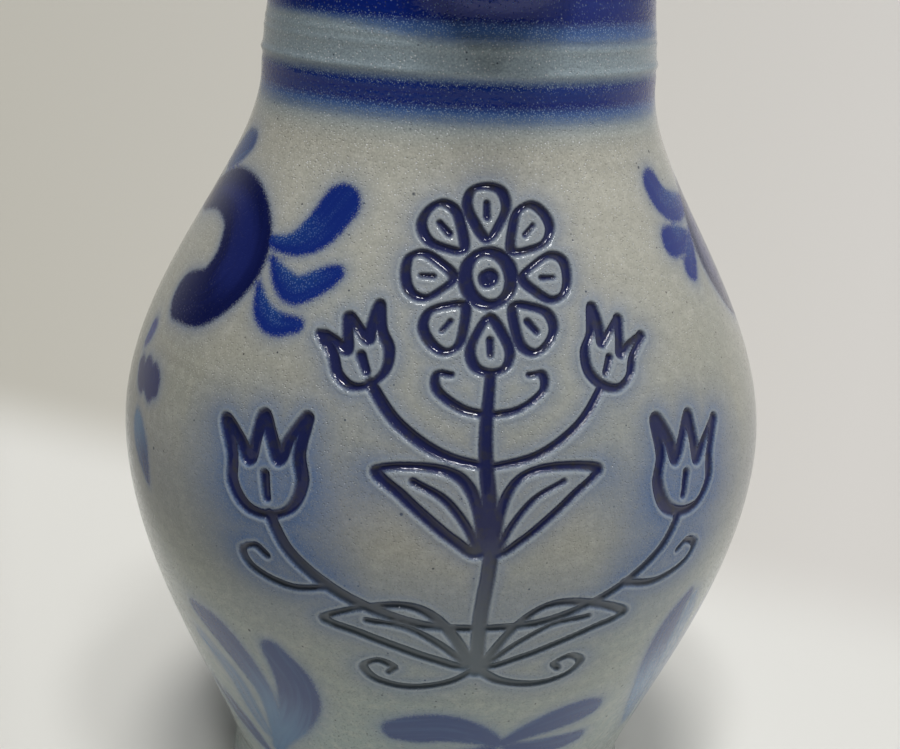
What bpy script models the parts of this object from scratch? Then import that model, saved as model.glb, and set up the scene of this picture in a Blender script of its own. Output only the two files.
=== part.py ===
"""A salt-glazed stoneware jug: a thrown body with a pinched spout, and a strap handle luted on behind."""

import math

import bmesh
import bpy

# Sizes are in metres. The jug stands on z = 0, pours toward -Y and carries its handle at +Y.

# Heights of the thrown body, stacked from the table up.
FOOT_HEIGHT = 0.025
LOWER_BELLY_RISE = 0.093
SHOULDER_RISE = 0.0976
NECK_LENGTH = 0.0374

# Radii of the outer side.
FOOT_RADIUS = 0.0610
FOOT_WAIST_RADIUS = 0.0593
FOOT_TOP_RADIUS = 0.0620
BELLY_RADIUS = 0.0900
NECK_ROOT_RADIUS = 0.0524
NECK_WAIST_RADIUS = 0.0504
RIM_RADIUS = 0.0530

# How far each stretch of the outline keeps its end direction before it bends.
FOOT_TAPER = math.radians(19.5)
FOOT_SWEEP = 0.025
BELLY_SWEEP_BELOW = 0.033
BELLY_SWEEP_ABOVE = 0.039
NECK_SWEEP = 0.0247

# The foot's waist and edge, and the fine ridge over a groove at the bottom of the neck.
FOOT_WAIST_DROP = 0.009
FOOT_EDGE_RADIUS = 0.0025
NECK_WAIST_DROP = 0.012
RIDGE_RISE = 0.0043
RIDGE_PROUD = 0.0005
RIDGE_WIDTH = 0.0030
GROOVE_DEPTH = 0.0005
GROOVE_WIDTH = 0.0020

# Clay thicknesses.
WALL = 0.0065
LIP_THICKNESS = 0.0075
FLOOR_THICKNESS = 0.0085
FLOOR_FILLET = 0.020

# The spout, pulled forward from the rim between two pinches.
SPOUT_REACH = 0.014
SPOUT_HALF_WIDTH = 0.027
SPOUT_DEPTH = 0.020
SPOUT_PINCH = 0.0030
SPOUT_DIP = 0.0010

# The strap handle.
HANDLE_TOP_DROP = 0.021
HANDLE_FOOT_RISE = 0.032
HANDLE_OVERHANG = 0.010
HANDLE_BEND_DROP = 0.027
HANDLE_LIFT = math.radians(20)
HANDLE_TOP_SWEEP = 0.036
HANDLE_BEND_SWEEP_ABOVE = 0.024
HANDLE_BEND_SWEEP_BELOW = 0.030
HANDLE_FOOT_SWEEP = 0.022
STRAP_WIDTH = 0.032
STRAP_THICKNESS = 0.0120
STRAP_GROOVE_DEPTH = 0.0012
STRAP_TOP_SCALE = 1.08
STRAP_BEND_SCALE = 0.95
STRAP_FOOT_SCALE = 0.95
STRAP_EDGE_SHARPNESS = 0.75
STRAP_FACE_SHARPNESS = 0.85
STRAP_EMBED = 0.009
LUTING_RADIUS = 0.0035
JOINT_GAP = 0.0003

# Facets.
TURN_STEPS = 64
STRETCH_POINTS = 8
INNER_POINTS = 6
SHORT_POINTS = 3
FILLET_POINTS = 4
PATH_STEPS = 12
SECTION_POINTS = 20
LUTING_POINTS = 30

FOOT_WAIST_HEIGHT = FOOT_HEIGHT - FOOT_WAIST_DROP
BELLY_HEIGHT = FOOT_HEIGHT + LOWER_BELLY_RISE
NECK_ROOT_HEIGHT = BELLY_HEIGHT + SHOULDER_RISE
RIM_HEIGHT = NECK_ROOT_HEIGHT + NECK_LENGTH
NECK_WAIST_HEIGHT = RIM_HEIGHT - NECK_WAIST_DROP
RIDGE_HEIGHT = NECK_ROOT_HEIGHT + RIDGE_RISE

MERGE = 0.00001
OBJECT_NAME = "stoneware_jug"


def clear_scene():
    for obj in list(bpy.data.objects):
        bpy.data.objects.remove(obj, do_unlink=True)


def new_collection(name):
    collection = bpy.data.collections.new(name)
    bpy.context.scene.collection.children.link(collection)
    return collection


def clay_material(name, colour, roughness):
    material = bpy.data.materials.new(name)
    material.use_nodes = True
    shader = material.node_tree.nodes["Principled BSDF"]
    shader.inputs["Base Color"].default_value = (*colour, 1.0)
    shader.inputs["Roughness"].default_value = roughness
    shader.inputs["Metallic"].default_value = 0.0
    return material


def bezier(start, start_handle, end_handle, end, count):
    """Points along a cubic curve, with its end but without its start."""
    points = []
    for step in range(1, count + 1):
        t = step / count
        weights = ((1 - t) ** 3, 3 * t * (1 - t) ** 2, 3 * t * t * (1 - t), t ** 3)
        corners = (start, start_handle, end_handle, end)
        points.append(tuple(sum(w * c[axis] for w, c in zip(weights, corners)) for axis in (0, 1)))
    return points


def arc(centre, radius, first, last, count):
    """Points of (radius, height) along an arc between two angles, ends included."""
    turns = [first + (last - first) * step / count for step in range(count + 1)]
    return [(centre[0] + radius * math.cos(a), centre[1] + radius * math.sin(a)) for a in turns]


def wall_stretch(inset, count):
    """The sweep from the neck's root over the belly to the top of the foot, moved in by an inset."""
    neck = (NECK_ROOT_RADIUS - inset, NECK_ROOT_HEIGHT)
    belly = (BELLY_RADIUS - inset, BELLY_HEIGHT)
    foot = (FOOT_TOP_RADIUS - inset, FOOT_HEIGHT)
    above_foot = (foot[0] + FOOT_SWEEP * math.tan(FOOT_TAPER), foot[1] + FOOT_SWEEP)
    below_neck = (neck[0], neck[1] - NECK_SWEEP)
    above_belly = (belly[0], belly[1] + BELLY_SWEEP_ABOVE)
    below_belly = (belly[0], belly[1] - BELLY_SWEEP_BELOW)
    upper = bezier(neck, below_neck, above_belly, belly, count)
    lower = bezier(belly, below_belly, above_foot, foot, count)
    return [neck] + upper + lower


def outer_outline():
    """The outside of the body as (radius, height), from the lip's crown down to the edge of the base."""
    lip_radius = LIP_THICKNESS / 2
    lip_centre = (RIM_RADIUS - lip_radius, RIM_HEIGHT - lip_radius)
    points = arc(lip_centre, lip_radius, math.pi / 2, 0, SHORT_POINTS)
    lip_side = points[-1]
    waist = (NECK_WAIST_RADIUS, NECK_WAIST_HEIGHT)
    half_drop = (lip_side[1] - waist[1]) / 2
    below_lip = (lip_side[0], lip_side[1] - half_drop)
    above_waist = (waist[0], waist[1] + half_drop)
    points += bezier(lip_side, below_lip, above_waist, waist, SHORT_POINTS)
    ridge_top = RIDGE_HEIGHT + RIDGE_WIDTH
    groove_bottom = RIDGE_HEIGHT - GROOVE_WIDTH
    points.append((NECK_ROOT_RADIUS, ridge_top))
    points.append((NECK_ROOT_RADIUS + RIDGE_PROUD, RIDGE_HEIGHT + RIDGE_WIDTH / 3))
    points.append((NECK_ROOT_RADIUS - GROOVE_DEPTH, (RIDGE_HEIGHT + groove_bottom) / 2))
    points += wall_stretch(0, STRETCH_POINTS)
    foot_top = points[-1]
    waist = (FOOT_WAIST_RADIUS, FOOT_WAIST_HEIGHT)
    half_drop = (foot_top[1] - waist[1]) / 2
    below_top = (foot_top[0] - half_drop * math.tan(FOOT_TAPER), foot_top[1] - half_drop)
    above_waist = (waist[0], waist[1] + half_drop)
    points += bezier(foot_top, below_top, above_waist, waist, SHORT_POINTS)
    edge_centre = (FOOT_RADIUS - FOOT_EDGE_RADIUS, FOOT_EDGE_RADIUS)
    points += arc(edge_centre, FOOT_EDGE_RADIUS, 0, -math.pi / 2, SHORT_POINTS)
    return points


def inner_outline():
    """The inside of the body as (radius, height), from the middle of the floor up to the lip."""
    wall = [point for point in wall_stretch(WALL, INNER_POINTS) if point[1] > FLOOR_THICKNESS + FLOOR_FILLET]
    lowest = wall[-1]
    floor_edge = (lowest[0] - FLOOR_FILLET, FLOOR_THICKNESS)
    corner = (lowest[0] - (lowest[1] - FLOOR_THICKNESS) * math.tan(FOOT_TAPER), FLOOR_THICKNESS)
    fillet = bezier(lowest, corner, corner, floor_edge, FILLET_POINTS)
    downward = wall + fillet
    lip_radius = LIP_THICKNESS / 2
    lip_centre = (RIM_RADIUS - lip_radius, RIM_HEIGHT - lip_radius)
    lip = arc(lip_centre, lip_radius, math.pi, math.pi / 2, SHORT_POINTS)[:-1]
    neck = [(NECK_WAIST_RADIUS - WALL, NECK_WAIST_HEIGHT)]
    return [(0, FLOOR_THICKNESS)] + downward[::-1] + neck + lip


def turned(name, outline, collection):
    """A solid of revolution from a (radius, height) outline that runs down its outer side."""
    mesh = bpy.data.meshes.new(name)
    edges = [(i, i + 1) for i in range(len(outline) - 1)]
    mesh.from_pydata([(radius, 0, height) for radius, height in outline], edges, [])
    obj = bpy.data.objects.new(name, mesh)
    collection.objects.link(obj)
    screw = obj.modifiers.new("turn", "SCREW")
    screw.steps = TURN_STEPS
    screw.render_steps = TURN_STEPS
    screw.use_merge_vertices = True
    screw.merge_threshold = MERGE
    return obj


def to_mesh(obj):
    """Replaces an object by its evaluated mesh, with the loose ends welded."""
    bpy.context.view_layer.update()
    graph = bpy.context.evaluated_depsgraph_get()
    mesh = bpy.data.meshes.new_from_object(obj.evaluated_get(graph))
    name = obj.name
    collection = obj.users_collection[0]
    matrix = obj.matrix_world.copy()
    bpy.data.objects.remove(obj, do_unlink=True)
    shape = bmesh.new()
    shape.from_mesh(mesh)
    bmesh.ops.remove_doubles(shape, verts=shape.verts, dist=MERGE)
    bmesh.ops.recalc_face_normals(shape, faces=shape.faces)
    shape.to_mesh(mesh)
    shape.free()
    made = bpy.data.objects.new(name, mesh)
    made.matrix_world = matrix
    collection.objects.link(made)
    return made


def smoothstep(value):
    t = min(max(value, 0.0), 1.0)
    return t * t * (3 - 2 * t)


def pull_spout(obj):
    """Draws the front of the rim into a spout, with the clay beside it pinched in."""
    for vertex in obj.data.vertices:
        x, y, z = vertex.co
        rise = smoothstep((z - (RIM_HEIGHT - SPOUT_DEPTH)) / SPOUT_DEPTH)
        radius = math.hypot(x, y)
        if rise == 0 or radius < MERGE:
            continue
        sideways = RIM_RADIUS * math.atan2(x, -y)
        pull = (1 - min(abs(sideways) / SPOUT_HALF_WIDTH, 1) ** 2) ** 2
        beside = (abs(sideways) - SPOUT_HALF_WIDTH) / SPOUT_HALF_WIDTH
        pinch = 0.5 + 0.5 * math.cos(math.pi * min(abs(beside), 1))
        inward = rise * SPOUT_PINCH * pinch / radius
        vertex.co.x -= x * inward
        vertex.co.y -= y * inward + rise * SPOUT_REACH * pull
        vertex.co.z -= rise * SPOUT_DIP * pull


def shade_round(obj, sharp_angle=math.radians(40)):
    obj.data.shade_smooth()
    obj.data.set_sharp_from_angle(angle=sharp_angle)


def outer_radius(height):
    """The body's outer radius at a height between the foot's edge and the neck."""
    points = outer_outline()
    for upper, lower in zip(points, points[1:]):
        if upper[1] >= height > lower[1]:
            share = (height - lower[1]) / (upper[1] - lower[1])
            return lower[0] + share * (upper[0] - lower[0])
    return points[-1][0]


def outward(height, step=0.001):
    """The unit direction (away from the axis, up) square to the body's side at a height."""
    slope = (outer_radius(height + step) - outer_radius(height - step)) / (2 * step)
    length = math.hypot(1, slope)
    return (1 / length, -slope / length)


def seat_cutter(collection):
    """The body's outer shape grown by the joint's gap, filled in."""
    points = outer_outline()
    grown = []
    for before, here, after in zip(points, points[1:], points[2:]):
        run = (after[0] - before[0], after[1] - before[1])
        length = math.hypot(*run)
        grown.append((here[0] - JOINT_GAP * run[1] / length, here[1] + JOINT_GAP * run[0] / length))
    cutter = turned("body_seat", [(0, grown[0][1])] + grown + [(0, grown[-1][1])], collection)
    return as_cutter(cutter)


def as_cutter(obj):
    obj.hide_render = True
    obj.display_type = "WIRE"
    return obj


def cut(obj, cutter, name):
    boolean = obj.modifiers.new(name, "BOOLEAN")
    boolean.operation = "DIFFERENCE"
    boolean.solver = "EXACT"
    boolean.object = cutter


def along(point, direction, distance):
    return (point[0] + distance * direction[0], point[1] + distance * direction[1])


def strap_route():
    """The strap's centre line as Bezier knots: (point, back handle, front handle, scale) in (depth, height)."""
    top_height = RIM_HEIGHT - HANDLE_TOP_DROP
    foot_height = BELLY_HEIGHT + HANDLE_FOOT_RISE
    top = (outer_radius(top_height), top_height)
    bend = (BELLY_RADIUS + HANDLE_OVERHANG, top_height - HANDLE_BEND_DROP)
    foot = (outer_radius(foot_height), foot_height)
    lift = (math.cos(HANDLE_LIFT), math.sin(HANDLE_LIFT))
    side = outward(foot_height)
    top_end = along(top, lift, -STRAP_EMBED)
    foot_end = along(foot, side, -STRAP_EMBED)
    above = (bend[0], bend[1] + HANDLE_BEND_SWEEP_ABOVE)
    below = (bend[0], bend[1] - HANDLE_BEND_SWEEP_BELOW)
    return (
        (top_end, top_end, along(top, lift, HANDLE_TOP_SWEEP), STRAP_TOP_SCALE),
        (bend, above, below, STRAP_BEND_SCALE),
        (foot_end, along(foot, side, HANDLE_FOOT_SWEEP), foot_end, STRAP_FOOT_SCALE),
    )


def section_point(turn, grow):
    """A point of the strap's section, (across, through), with a shallow groove down its outer face."""
    c = math.cos(turn)
    s = math.sin(turn)
    across = (STRAP_WIDTH / 2 + grow) * math.copysign(abs(c) ** STRAP_EDGE_SHARPNESS, c)
    through = (STRAP_THICKNESS / 2 + grow) * math.copysign(abs(s) ** STRAP_FACE_SHARPNESS, s)
    if through > 0:
        through -= STRAP_GROOVE_DEPTH * max(0, math.cos(math.pi * across / (STRAP_WIDTH / 2))) ** 2
    return (across, through)


def strap(name, grow, collection):
    """The strap swept along its route, its section grown on every side."""
    section_data = bpy.data.curves.new(name + "_section", "CURVE")
    section_data.dimensions = "2D"
    outline = section_data.splines.new("POLY")
    outline.points.add(SECTION_POINTS - 1)
    for index, point in enumerate(outline.points):
        across, through = section_point(2 * math.pi * index / SECTION_POINTS, grow)
        point.co = (across, through, 0, 1)
    outline.use_cyclic_u = True
    section = bpy.data.objects.new(name + "_section", section_data)
    collection.objects.link(section)

    route_data = bpy.data.curves.new(name, "CURVE")
    route_data.dimensions = "3D"
    route_data.resolution_u = PATH_STEPS
    route_data.bevel_mode = "OBJECT"
    route_data.bevel_object = section
    route_data.use_fill_caps = True
    route = route_data.splines.new("BEZIER")
    knots = strap_route()
    route.bezier_points.add(len(knots) - 1)
    for knot, (point, back, front, scale) in zip(route.bezier_points, knots):
        knot.co = (0, *point)
        knot.handle_left_type = "FREE"
        knot.handle_right_type = "FREE"
        knot.handle_left = (0, *back)
        knot.handle_right = (0, *front)
        knot.radius = scale
    obj = bpy.data.objects.new(name, route_data)
    collection.objects.link(obj)
    made = to_mesh(obj)
    bpy.data.objects.remove(section, do_unlink=True)
    return made


def luting_roll(name, height, scale, collection):
    """A roll of soft clay laid round the strap where it meets the body at a height."""
    data = bpy.data.curves.new(name, "CURVE")
    data.dimensions = "3D"
    data.bevel_depth = LUTING_RADIUS
    data.bevel_resolution = 2
    ring = data.splines.new("POLY")
    ring.points.add(LUTING_POINTS - 1)
    side = outward(height)
    for index, point in enumerate(ring.points):
        across, through = section_point(2 * math.pi * index / LUTING_POINTS, LUTING_RADIUS / 2)
        x = scale * across
        z = height + scale * through * side[0]
        radius = outer_radius(z)
        point.co = (x, math.sqrt(radius * radius - x * x), z, 1)
    ring.use_cyclic_u = True
    obj = bpy.data.objects.new(name, data)
    collection.objects.link(obj)
    return to_mesh(obj)


def build():
    clear_scene()
    parts = new_collection(OBJECT_NAME)
    cutters = new_collection("cutters")

    body = to_mesh(turned("jug_body", inner_outline() + outer_outline() + [(0, 0)], parts))
    pull_spout(body)
    body.data.materials.append(clay_material("salt_glazed_stoneware", (0.29, 0.29, 0.26), 0.30))

    seat = seat_cutter(cutters)
    handle = strap("handle", 0, parts)
    cut(handle, seat, "seat")
    handle.data.materials.append(clay_material("handle_stoneware", (0.27, 0.27, 0.25), 0.32))

    strap_room = as_cutter(strap("strap_room", JOINT_GAP, cutters))
    upper = luting_roll("upper_luting_roll", RIM_HEIGHT - HANDLE_TOP_DROP, STRAP_TOP_SCALE, parts)
    lower = luting_roll("lower_luting_roll", BELLY_HEIGHT + HANDLE_FOOT_RISE, STRAP_FOOT_SCALE, parts)
    for roll in (upper, lower):
        cut(roll, seat, "seat")
        cut(roll, strap_room, "strap")
        roll.data.materials.append(clay_material(roll.name + "_clay", (0.25, 0.26, 0.26), 0.35))

    for obj in (body, handle, upper, lower):
        shade_round(obj)


build()
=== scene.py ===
import math
from functools import partial

import bmesh
import bpy
import numpy as np
from mathutils import Matrix, Vector


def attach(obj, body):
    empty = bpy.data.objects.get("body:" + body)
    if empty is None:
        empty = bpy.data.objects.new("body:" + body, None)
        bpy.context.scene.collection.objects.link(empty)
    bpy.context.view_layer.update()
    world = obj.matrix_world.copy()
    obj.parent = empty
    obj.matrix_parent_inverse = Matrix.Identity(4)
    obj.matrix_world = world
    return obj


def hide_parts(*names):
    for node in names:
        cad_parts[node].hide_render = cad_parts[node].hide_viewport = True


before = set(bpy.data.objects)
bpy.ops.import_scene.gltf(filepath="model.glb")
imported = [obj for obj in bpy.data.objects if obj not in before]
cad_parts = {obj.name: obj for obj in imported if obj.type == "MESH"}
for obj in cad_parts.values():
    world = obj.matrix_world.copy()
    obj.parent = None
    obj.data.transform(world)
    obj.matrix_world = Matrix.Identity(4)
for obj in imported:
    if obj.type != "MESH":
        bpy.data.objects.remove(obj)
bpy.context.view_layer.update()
scene = bpy.context.scene
scene.view_settings.view_transform = "Standard"
mm = 0.001  # shapes are worked out in millimetres and scaled to metres at the end
print("frame loaded:", ", ".join(sorted(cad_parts)))


def linear(hexColour):
    parts = [int(hexColour[i:i + 2], 16) / 255 for i in (0, 2, 4)]
    return tuple(c / 12.92 if c <= 0.04045 else ((c + 0.055) / 1.055) ** 2.4 for c in parts) + (1.0,)


def ease(t, start, length):  # 0 at the start and 1 a length further on, with soft ends
    t = np.clip((t - start) / length, 0.0, 1.0)
    return t * t * (3 - 2 * t)


def hump(t, middle, half):  # 1 at its middle, and almost 0 two halves away
    return np.exp(-((t - middle) / half) ** 2)


def curvePoints(corners, count):  # a cubic curve from its first corner to its last
    t = np.linspace(0, 1, count + 1)[:, None]
    a, b, c, d = (np.array(corner, float) for corner in corners)
    return (1 - t) ** 3 * a + 3 * t * (1 - t) ** 2 * b + 3 * t * t * (1 - t) * c + t ** 3 * d


def uprightCurve(start, end, pull, count):  # leaves its start and reaches its end upright
    up = math.copysign(pull, end[1] - start[1])
    return curvePoints((start, (start[0], start[1] + up), (end[0], end[1] - up), end), count)


def arcPoints(centre, radius, first, last, count):
    turns = np.radians(np.linspace(first, last, count + 1))
    return np.column_stack((centre[0] + radius * np.cos(turns), centre[1] + radius * np.sin(turns)))


def smoothLine(points, closed=False, steps=20):  # an even line through given points
    p = np.array(points, float)
    if closed:
        p = np.vstack((p[-1:], p, p[:2]))
    else:
        p = np.vstack((2 * p[0] - p[1], p, 2 * p[-1] - p[-2]))
    t = np.linspace(0, 1, steps, endpoint=False)[:, None]
    pieces = []
    for a, b, c, d in zip(p, p[1:], p[2:], p[3:]):
        pieces.append(b + 0.5 * t * (c - a + t * (2 * a - 5 * b + 4 * c - d + t * (3 * b - a - 3 * c + d))))
    pieces.append(p[-2:-1])
    return np.vstack(pieces)


def mirrored(half):  # a closed outline from its half
    return half + [(-x, y) for x, y in half[-2:0:-1]]


def joined(stretches):  # one line from several that meet
    return np.vstack([stretches[0]] + [stretch[1:] for stretch in stretches[1:]])


# Sockets of Map Range and of Mix that are set in pairs, and short names for nodes with a setting.
span, onto, most = (1, 2), (3, 4), 4
levels, pair = (2, 3), (6, 7)  # plain values, and colours
broad, midway = (0.25, 0.75), (0.3, 0.7)  # the levels between which a noise mostly stays
sums = {"plus": "ADD", "minus": "SUBTRACT", "times": "MULTIPLY", "timesPlus": "MULTIPLY_ADD",
        "over": "DIVIDE", "larger": "MAXIMUM", "below": "LESS_THAN"}
nodeKinds = {name: ("Math", "operation", operation) for name, operation in sums.items()}
nodeKinds["blend"] = ("Mix", "data_type", "RGBA")
nodeKinds["softRange"] = ("MapRange", "interpolation_type", "SMOOTHSTEP")


def setInputs(tree, node, values):  # each value is a socket, a node, a hex colour or a plain value
    if not isinstance(values, dict):  # a list fills the sockets from the first on
        values = dict(enumerate(values))
    for socket, value in values.items():
        if isinstance(socket, tuple):  # a pair of sockets takes a pair of values
            setInputs(tree, node, dict(zip(socket, value)))
            continue
        if isinstance(value, bpy.types.Node):
            value = next(output for output in value.outputs if output.enabled)
        if isinstance(value, bpy.types.NodeSocket):
            tree.links.new(value, node.inputs[socket])
        else:
            node.inputs[socket].default_value = linear(value) if isinstance(value, str) else value


def addNode(tree, name, values=(), **settings):
    kind, *usual = nodeKinds.get(name, [name])
    node = tree.nodes.new("ShaderNode" + kind)
    if usual:
        setattr(node, *usual)
    for key, value in settings.items():
        setattr(node, key, value)
    setInputs(tree, node, values)
    return node


def newMaterial(name):  # a material, what adds a node to it and what sets its shader
    material = bpy.data.materials.new(name)
    material.use_nodes = True
    tree = material.node_tree
    return material, partial(addNode, tree), partial(setInputs, tree, tree.nodes["Principled BSDF"])


# The thrown wall: (radius, height) of each turning point of its outer side, and its thickness, in mm.
thrownWall = {
    "rim": (53.0, 253.0), "lip": 7.5, "neckWaist": (50.4, 241.0), "neckRoot": (52.4, 215.6),
    "belly": (90.0, 118.0), "footTop": (62.0, 25.0), "footWaist": (59.3, 16.0), "footEdge": (61.0, 2.5),
    "neckPull": 9.0, "lipPull": 4.0, "edgePull": 6.0,
    "neckSweep": 24.7, "shoulderSweep": 39.0, "bellySweep": 33.0, "footSweep": 25.0, "footTaper": 19.5,
    "clay": 6.5, "floor": 8.5, "floorFillet": 20.0, "columns": 200,
    "outerRows": {"lip": 7, "neck": 40, "shoulder": 42, "lower": 38, "foot": 6, "edge": 8, "corner": 5,
                  "base": 8},
    "innerRows": {"floor": 5, "fillet": 8, "side": 20, "neck": 7, "lip": 4, "crown": 6},
    "brushRefine": (2.2, 1), "grooveRefine": (2.7, 4),  # how near an edge, and how many cuts
    # mm behind the outer side where it ends and where the lining starts; two heights at the base
    "skin": 2.0, "lining": 4.0, "baseEdge": 3.0, "bareBelow": 0.3,
    # height, relief and half width of each line turned into the neck
    "neckLines": [(220.9, 0.42, 0.8), (219.0, -0.15, 0.8), (226.4, 0.2, 0.8), (228.6, 0.18, 0.7)],
    # ridges that the fingers left inside, between two heights
    "ridges": 0.35, "ridgePitch": 13.0, "ridgeFrom": 30.0, "ridgeTo": 240.0, "ridgeFade": 20.0,
}
lipHalf = thrownWall["lip"] / 2
lipCentre = (thrownWall["rim"][0] - lipHalf, thrownWall["rim"][1] - lipHalf)
footSlope = math.tan(math.radians(thrownWall["footTaper"]))

# The spout is pulled forward from the rim between two pinches.
pulledSpout = {"reach": 14.0, "halfWidth": 27.0, "depth": 20.0, "pinch": 3.0, "dip": 1.0}


def sideStretches(inset, upperRows, lowerRows):  # neck root to belly to foot, moved in by an inset
    w = thrownWall
    root, belly, foot = ((w[key][0] - inset, w[key][1]) for key in ("neckRoot", "belly", "footTop"))
    sweep = w["footSweep"]
    upper = (root, (root[0], root[1] - w["neckSweep"]), (belly[0], belly[1] + w["shoulderSweep"]), belly)
    footPull = (foot[0] + sweep * footSlope, foot[1] + sweep)
    lower = (belly, (belly[0], belly[1] - w["bellySweep"]), footPull, foot)
    return [curvePoints(upper, upperRows), curvePoints(lower, lowerRows)]


def outerOutline():  # from the lip's crown down to the edge of the base
    w, rows = thrownWall, thrownWall["outerRows"]
    lipSide = (w["rim"][0], lipCentre[1])
    waist, top, low, edge = (w[key] for key in ("neckWaist", "footTop", "footWaist", "footEdge"))
    half = (top[1] - low[1]) / 2
    footCurve = (top, (top[0] - half * footSlope, top[1] - half), (low[0], low[1] + half), low)
    return joined([
        arcPoints(lipCentre, lipHalf, 90, 0, rows["lip"]),
        uprightCurve(lipSide, waist, (lipSide[1] - waist[1]) / 2, rows["lip"]),
        uprightCurve(waist, w["neckRoot"], w["neckPull"], rows["neck"]),
        *sideStretches(0, rows["shoulder"], rows["lower"]),
        curvePoints(footCurve, rows["foot"]),
        uprightCurve(low, edge, w["edgePull"], rows["edge"]),
        arcPoints((edge[0] - edge[1], edge[1]), edge[1], 0, -90, rows["corner"]),
    ])


def innerOutline():  # from the middle of the floor up to the lip's crown
    w, rows = thrownWall, thrownWall["innerRows"]
    side = joined(sideStretches(w["clay"], rows["side"], rows["side"]))
    side = side[side[:, 1] > w["floor"] + w["floorFillet"]]
    low = side[-1]
    corner = (low[0] - (low[1] - w["floor"]) * footSlope, w["floor"])
    flatEdge = (low[0] - w["floorFillet"], w["floor"])
    waist = (w["neckWaist"][0] - w["clay"], w["neckWaist"][1])
    lipInside = (lipCentre[0] - lipHalf, lipCentre[1])
    return joined([
        np.linspace((0, w["floor"]), flatEdge, rows["floor"] + 1),
        curvePoints((low, corner, corner, flatEdge), rows["fillet"])[::-1],
        side[::-1],
        uprightCurve(side[0], waist, w["neckPull"], rows["neck"]),
        uprightCurve(waist, lipInside, w["lipPull"], rows["lip"]),
        arcPoints(lipCentre, lipHalf, 180, 90, rows["crown"]),
    ])


outerSide = outerOutline()


def radiusAt(height):
    order = outerSide[::-1]
    return np.interp(height, order[:, 1], order[:, 0])


def wallPoints(turn, height):  # turn is in degrees from the spout, to the right as seen from outside
    radius = radiusAt(height)
    angle = np.radians(turn)
    return np.column_stack((radius * np.sin(angle), -radius * np.cos(angle), height))


# Brushed cobalt, as (turn, height, width) along each stroke; tone 1 is a full brush and 0.3 a thin wash.
# One side flower stands on each flank: a crescent, three dabs in front of it, buds and a leaf under it.
cobaltStrokes = {
    "crescent": (1.0, [(-86, 182, 9), (-73, 186.3, 12), (-61, 184, 15), (-54.9, 174.5, 19.3),
                       (-59, 164.2, 16.3), (-67.2, 160.9, 13)]),
    "highDab": (0.8, [(-49, 179.4, 1.8), (-42, 179.6, 5), (-36.8, 183.2, 9), (-33, 189.8, 9.8)]),
    "midDab": (0.75, [(-45.5, 176, 1), (-41, 172, 5), (-37, 170.5, 6.5), (-32, 173.8, 5.5),
                      (-29.7, 175.5, 3.5)]),
    "lowDab": (0.75, [(-46.3, 170, 1), (-43.3, 165, 4.5), (-39.5, 162.8, 5.5), (-35, 163.5, 3.5)]),
    "topBud": (0.6, [(-73.5, 198, 6), (-78, 196, 9), (-84, 192, 6)]),
    "slantBud": (0.7, [(-75.2, 150, 4.2), (-75.6, 147.6, 3.8), (-76.6, 145, 1.4)]),
    "budLeft": (0.92, [(-74.4, 140.2, 4.5), (-72.7, 138, 5.5), (-71.2, 136.4, 4.2)]),
    "budMiddle": (0.92, [(-70.8, 141.6, 4.8), (-68.5, 139.2, 6.8), (-66.6, 136.8, 5)]),
    "budRight": (0.92, [(-67.2, 141.8, 4), (-65.6, 140, 5.2), (-64.8, 138, 4)]),
    "underBud": (0.55, [(-63.8, 114.3, 2), (-65, 118, 5.5), (-66.6, 121.6, 8.5), (-69.2, 126, 7),
                        (-70.4, 128.6, 3)]),
}
rightDabs = {  # the right flower was brushed a little further round, and its dabs reach higher
    "highDab": (0.8, [(66, 187.2, 4), (60, 187.2, 7), (54.8, 188.2, 8.6), (51.4, 190.8, 8.8),
                      (50, 193.8, 8)]),
    "midDab": (0.75, [(59.5, 181, 1), (56.5, 180.8, 3.6), (52.6, 180.5, 7.2), (48.8, 180.6, 8)]),
    "lowDab": (0.75, [(62, 181.4, 0.8), (59, 178.6, 3), (55.6, 175.6, 5), (52.8, 173.4, 6)]),
}
lowLeaves = {
    "darkLeaf": (0.5, [(-35.6, 80, 7), (-32.8, 72, 11.5), (-32.8, 64, 12), (-36, 54, 9), (-41, 45, 6),
                       (-45, 37, 3)]),
    "longLeaf": (0.5, [(-54.5, 82, 5), (-49, 78.5, 10), (-44.5, 71.5, 9), (-41.3, 62, 6), (-41.7, 52, 4),
                       (-44, 41, 3)]),
    "thirdLeaf": (0.35, [(-57, 71, 4), (-50, 62, 6), (-48, 50, 5), (-46.5, 43, 3)]),
    "fourthLeaf": (0.6, [(-59, 48, 1.2), (-57.4, 45, 2.6), (-54, 41, 3.2), (-50.6, 34.6, 2.4)]),
    "backLeaf": (0.6, [(-64, 50, 1.4), (-61.8, 45, 3), (-59, 40, 3.8), (-54, 36, 3.4), (-49.5, 33, 2.4)]),
}
rightLeaves = [  # these two take the dark leaf's place on the right, the second from an almost dry brush
    (0.5, [(42.3, 92.4, 3), (40, 87.5, 7), (39.2, 81, 10), (39.8, 73, 11), (41, 65, 9.5), (43, 55, 7),
           (46, 45, 4)]),
    (0.35, [(45, 90, 3), (45.2, 82, 8), (46, 73, 8), (47.5, 63, 6), (49, 53, 4)]),
]
frontSprig = [  # left and right, then lower right and left
    (0.6, [(7.5, 54.5, 2), (2, 59.2, 7), (-4, 62, 10.5), (-9, 61.5, 11), (-13, 60.5, 8)]),
    (0.6, [(7.5, 54.5, 2), (12.5, 58.5, 6), (18, 61, 9), (23, 62, 9), (26, 62, 6.5)]),
    (0.6, [(9, 53, 2), (14, 51.2, 5.5), (20, 50.2, 6.5), (26, 50.3, 4.5)]),
    (0.6, [(6, 53, 2), (1, 50.5, 5.5), (-5, 49, 6.5), (-11, 49, 4.5)]),
]
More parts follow.
